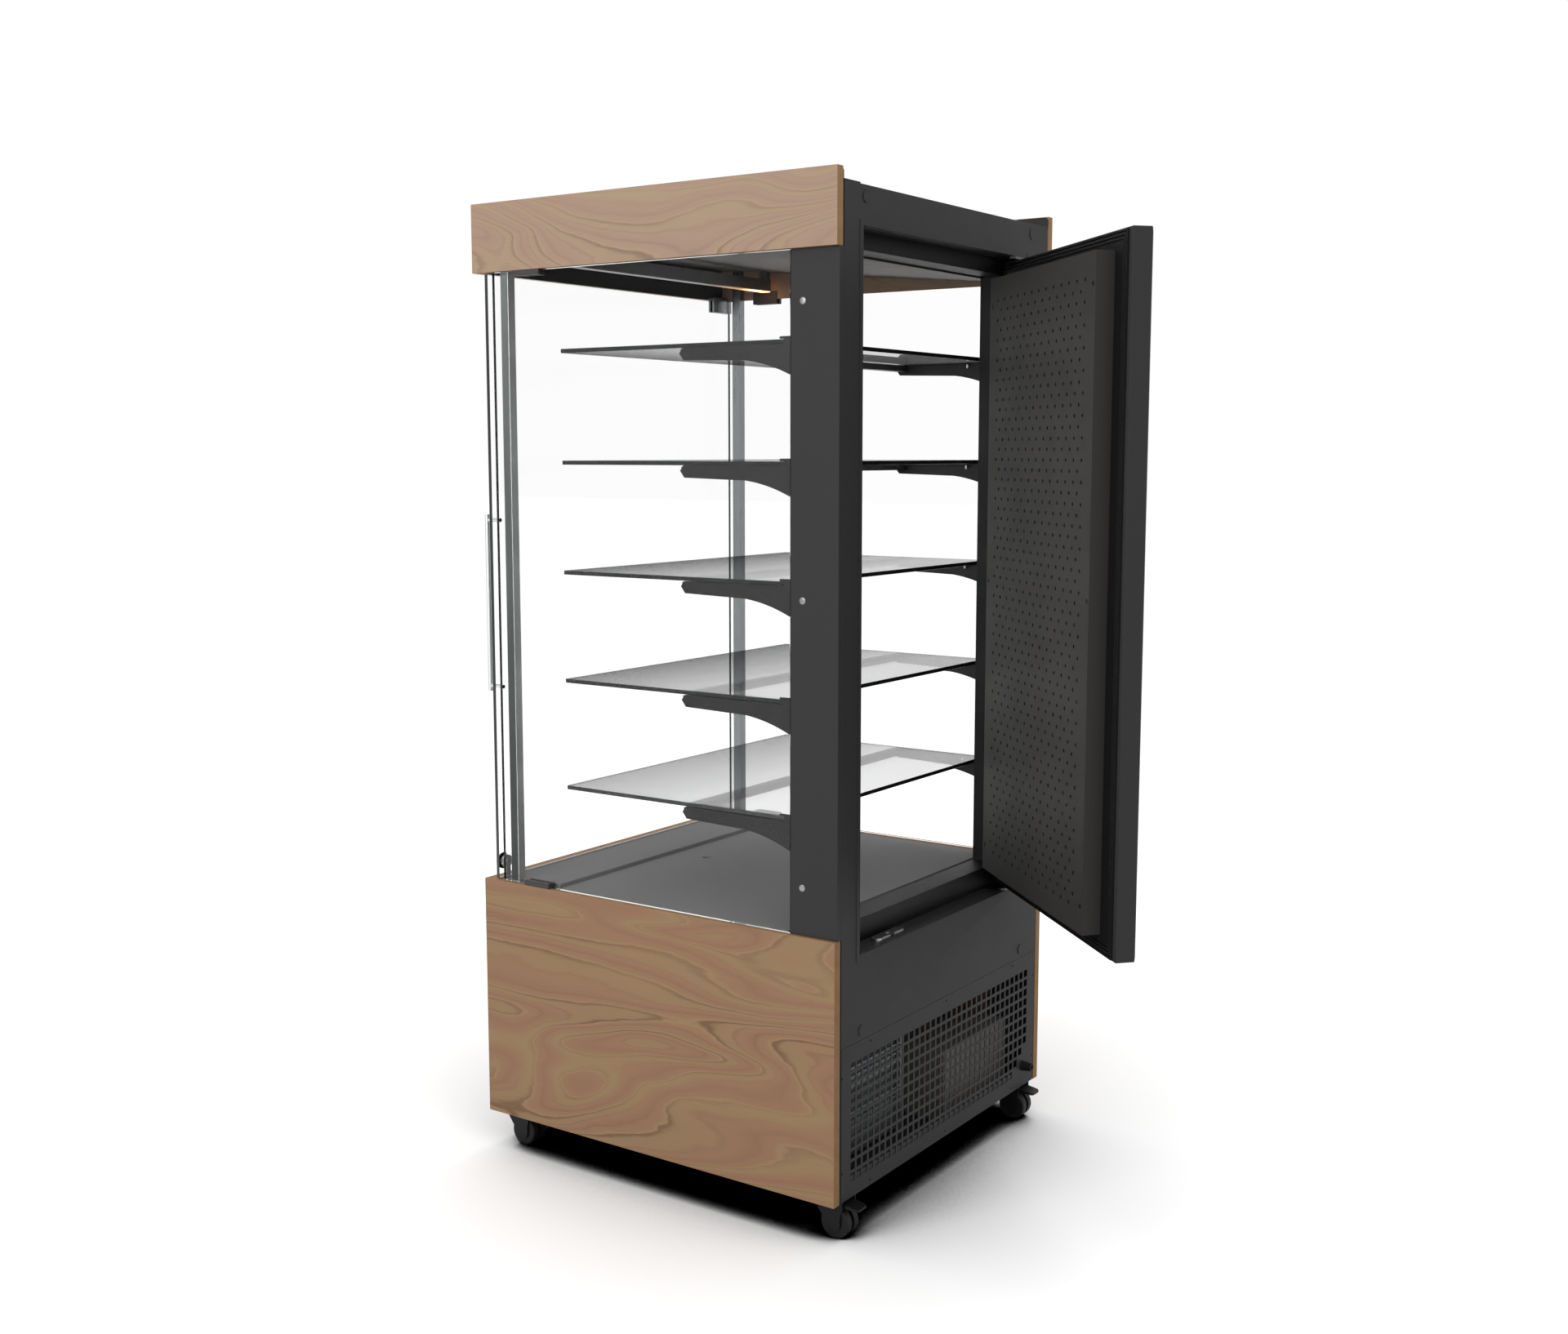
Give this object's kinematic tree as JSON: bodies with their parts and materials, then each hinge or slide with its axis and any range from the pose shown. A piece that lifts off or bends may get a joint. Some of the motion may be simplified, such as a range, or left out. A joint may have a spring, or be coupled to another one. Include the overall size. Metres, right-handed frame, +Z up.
{
  "type": "refrigerated pastry display case",
  "caption": "Upright glass pastry display case with wood-clad base and header, glass shelves, an open insulated service door with an air duct, a grille and swivel casters.",
  "frame": {"origin": "on the floor under the middle of the case's box with the service door standing open", "axes": "+Z up, -Y to the customer's glass door, +Y to the service side, +X to the customer's right"},
  "size_m": [0.833, 1.3364, 1.947],
  "materials": {
    "lower_wood": "matte",
    "header_wood": "matte",
    "charcoal_paint": "satin",
    "charcoal_bracket": "satin",
    "satin_aluminium": "satin",
    "stainless": "brushed",
    "galvanised": "matte",
    "clear_glass": "polished",
    "black_plastic": "matte",
    "black_rubber": "matte",
    "lamp_white": "gloss",
    "black_steel": "satin",
    "grey_box": "matte",
    "caster_grey": "matte",
    "wheel_rubber": "matte"
  },
  "bodies": {
    "cabinet": {"base_chassis": "galvanised", "bracket_bars": "charcoal_bracket", "brackets_left": "charcoal_bracket", "brackets_right": "charcoal_bracket", "cable_gland": "black_rubber", "caster_stems": "galvanised", "ceiling": "grey_box", "compressor": "black_steel", "condenser": "galvanised", "control_box": "grey_box", "deck": "stainless", "evaporator_tub": "grey_box", "frame_plugs": "black_plastic", "frame_trims": "satin_aluminium", "front_duct": "stainless", "front_pivots": "satin_aluminium", "front_posts": "satin_aluminium", "glass_clips": "black_plastic", "grille_panel": "charcoal_paint", "header_corner_plates": "stainless", "header_front_panel": "header_wood", "header_side_panels": "header_wood", "hinge_plates": "stainless", "lamp_diffuser": "lamp_white", "lamp_profile": "satin_aluminium", "lower_front_panel": "lower_wood", "lower_side_panels": "lower_wood", "machine_rail": "galvanised", "post_covers": "charcoal_paint", "rear_frame": "charcoal_paint", "shelf_1": "clear_glass", "shelf_2": "clear_glass", "shelf_3": "clear_glass", "shelf_4": "clear_glass", "shelf_5": "clear_glass", "shelf_pegs": "black_plastic", "side_glasses": "clear_glass", "sill_keeper": "stainless", "top_cover": "galvanised"},
    "service_door": {"service_door": "charcoal_paint", "door_gasket": "black_rubber", "door_liner": "black_plastic", "duct_panel": "stainless"},
    "front_door": {"front_door_glass": "clear_glass", "door_clamps": "satin_aluminium", "pull_handle": "satin_aluminium", "lock_barrel": "stainless"},
    "latch": {"latch_pin": "stainless"},
    "cam": {"lock_cam": "stainless"},
    "fan": {"condenser_fan": "black_plastic"},
    "swivel_front_left": {"caster_fork_front_left": "caster_grey"},
    "wheels_front_left": {"caster_wheels_front_left": "wheel_rubber"},
    "swivel_front_right": {"caster_fork_front_right": "caster_grey"},
    "wheels_front_right": {"caster_wheels_front_right": "wheel_rubber"},
    "swivel_rear_left": {"caster_fork_rear_left": "caster_grey"},
    "wheels_rear_left": {"caster_wheels_rear_left": "wheel_rubber"},
    "pedal_rear_left": {"brake_pedal_rear_left": "caster_grey"},
    "swivel_rear_right": {"caster_fork_rear_right": "caster_grey"},
    "wheels_rear_right": {"caster_wheels_rear_right": "wheel_rubber"},
    "pedal_rear_right": {"brake_pedal_rear_right": "caster_grey"}
  },
  "joints": [
    {"name": "service_door_hinge", "type": "hinge", "parent": "cabinet", "child": "service_door", "pos_m": [-0.292, 0.2098, 0.5494], "axis": [0, 0, 1], "range_deg": [-47.57, 52]},
    {"name": "latch_slide", "type": "slide", "parent": "service_door", "child": "latch", "axis": [0, 0, 1], "range_m": [0, 0.008], "stiffness_N_per_m": 300, "springref_m": -0.004},
    {"name": "front_door_hinge", "type": "hinge", "parent": "cabinet", "child": "front_door", "pos_m": [-0.394, -0.6222, 0.581], "axis": [0, 0, -1], "range_deg": [0, 95]},
    {"name": "lock_turn", "type": "hinge", "parent": "front_door", "child": "cam", "pos_m": [0.388, -0.6182, 0.614], "axis": [0, 1, 0], "range_deg": [0, 90]},
    {"name": "fan_spin", "type": "hinge", "parent": "cabinet", "child": "fan", "pos_m": [0.16, 0.0478, 0.204], "axis": [0, 1, 0], "continuous": true},
    {"name": "swivel_front_left", "type": "hinge", "parent": "cabinet", "child": "swivel_front_left", "pos_m": [-0.359, -0.6102, 0.07], "axis": [0, 0, 1], "continuous": true},
    {"name": "roll_front_left", "type": "hinge", "parent": "swivel_front_left", "child": "wheels_front_left", "pos_m": [-0.359, -0.5922, 0.03], "axis": [1, 0, 0], "continuous": true},
    {"name": "swivel_front_right", "type": "hinge", "parent": "cabinet", "child": "swivel_front_right", "pos_m": [0.359, -0.6102, 0.07], "axis": [0, 0, 1], "continuous": true},
    {"name": "roll_front_right", "type": "hinge", "parent": "swivel_front_right", "child": "wheels_front_right", "pos_m": [0.359, -0.5922, 0.03], "axis": [1, 0, 0], "continuous": true},
    {"name": "swivel_rear_left", "type": "hinge", "parent": "cabinet", "child": "swivel_rear_left", "pos_m": [-0.359, 0.1738, 0.07], "axis": [0, 0, 1], "continuous": true},
    {"name": "roll_rear_left", "type": "hinge", "parent": "swivel_rear_left", "child": "wheels_rear_left", "pos_m": [-0.359, 0.1918, 0.03], "axis": [1, 0, 0], "continuous": true},
    {"name": "brake_rear_left", "type": "hinge", "parent": "swivel_rear_left", "child": "pedal_rear_left", "pos_m": [-0.359, 0.2078, 0.066], "axis": [1, 0, 0], "range_deg": [-12, 0]},
    {"name": "swivel_rear_right", "type": "hinge", "parent": "cabinet", "child": "swivel_rear_right", "pos_m": [0.359, 0.1738, 0.07], "axis": [0, 0, 1], "continuous": true},
    {"name": "roll_rear_right", "type": "hinge", "parent": "swivel_rear_right", "child": "wheels_rear_right", "pos_m": [0.359, 0.1918, 0.03], "axis": [1, 0, 0], "continuous": true},
    {"name": "brake_rear_right", "type": "hinge", "parent": "swivel_rear_right", "child": "pedal_rear_right", "pos_m": [0.359, 0.2078, 0.066], "axis": [1, 0, 0], "range_deg": [-12, 0]}
  ]
}
